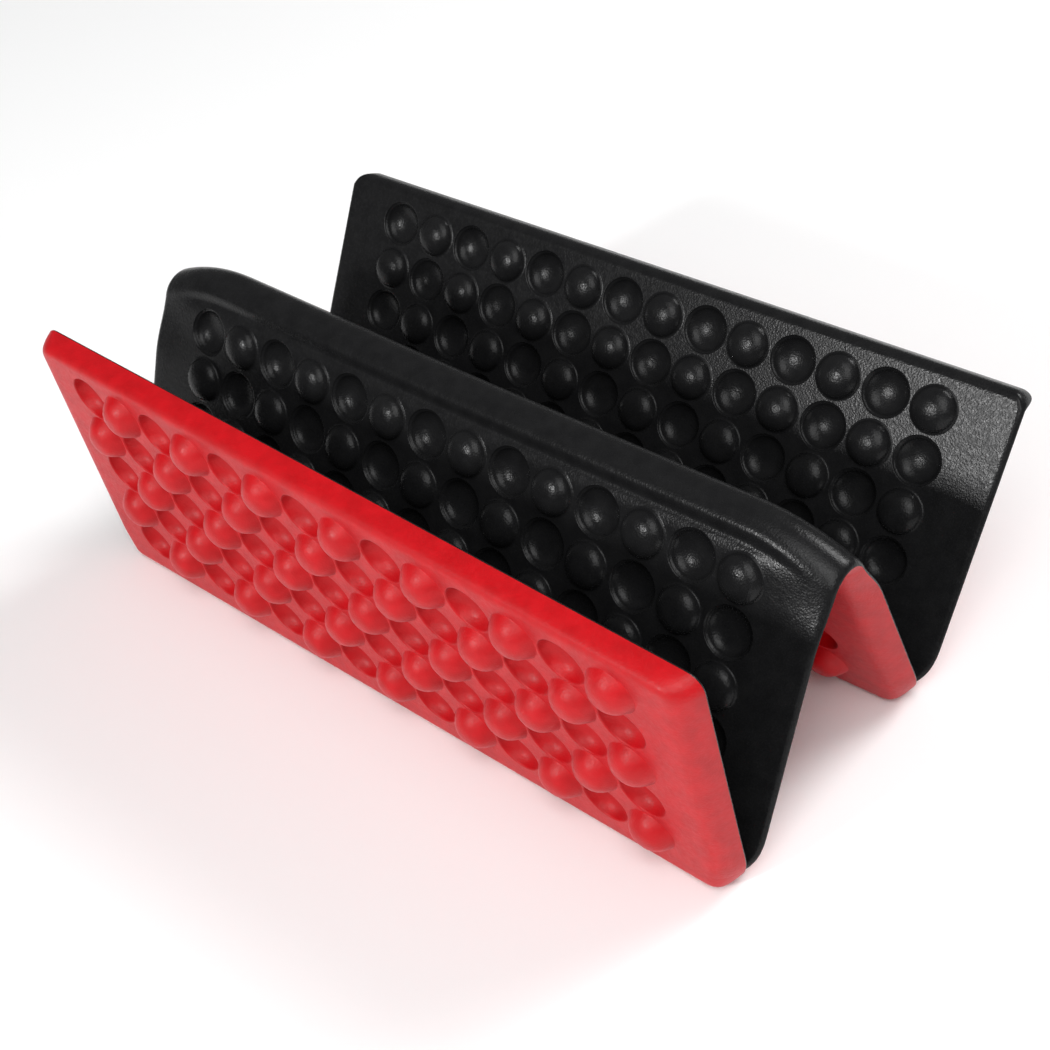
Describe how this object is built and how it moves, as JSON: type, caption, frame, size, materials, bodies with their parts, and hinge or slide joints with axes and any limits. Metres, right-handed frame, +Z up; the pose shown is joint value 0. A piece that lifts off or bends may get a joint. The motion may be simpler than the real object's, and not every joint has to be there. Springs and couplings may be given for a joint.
{
  "type": "folding foam seat pad",
  "caption": "Folding two-colour foam seat pad with egg-crate embossing, standing open in a zigzag on its pressed folds.",
  "frame": {"origin": "centre of the base of the bounding box, on the floor the pad stands on", "axes": "+X runs along the folds, the longest extent, towards the end nearer the viewer of the reference view; +Y runs from the front panel to the back panel; +Z is up"},
  "size_m": [0.28, 0.1736, 0.1005],
  "materials": {
    "red_foam": "satin closed-cell foam",
    "black_foam": "satin closed-cell foam"
  },
  "bodies": {
    "second_panel": {"second_panel_red": "red_foam", "second_panel_black": "black_foam", "front_fold_red": "red_foam", "front_fold_black": "black_foam", "ridge_fold_red": "red_foam", "ridge_fold_black": "black_foam"},
    "front_panel": {"front_panel_red": "red_foam", "front_panel_black": "black_foam"},
    "third_panel": {"third_panel_red": "red_foam", "third_panel_black": "black_foam", "back_fold_red": "red_foam", "back_fold_black": "black_foam"},
    "back_panel": {"back_panel_red": "red_foam", "back_panel_black": "black_foam"}
  },
  "joints": [
    {"name": "front_fold", "type": "hinge", "parent": "second_panel", "child": "front_panel", "pos_m": [0, -0.06245, 0.003], "axis": [1, 0, 0], "range_deg": [-28, 148], "stiffness_Nm_per_rad": 0.05, "deforming": ["front_fold_red", "front_fold_black"]},
    {"name": "ridge_fold", "type": "hinge", "parent": "second_panel", "child": "third_panel", "pos_m": [0, -0.01605, 0.09148], "axis": [1, 0, 0], "range_deg": [-42, 135], "stiffness_Nm_per_rad": 0.05, "deforming": ["ridge_fold_red", "ridge_fold_black"]},
    {"name": "back_fold", "type": "hinge", "parent": "third_panel", "child": "back_panel", "pos_m": [0, 0.03034, 0.003], "axis": [-1, 0, 0], "range_deg": [-48, 128], "stiffness_Nm_per_rad": 0.05, "deforming": ["back_fold_red", "back_fold_black"]}
  ]
}
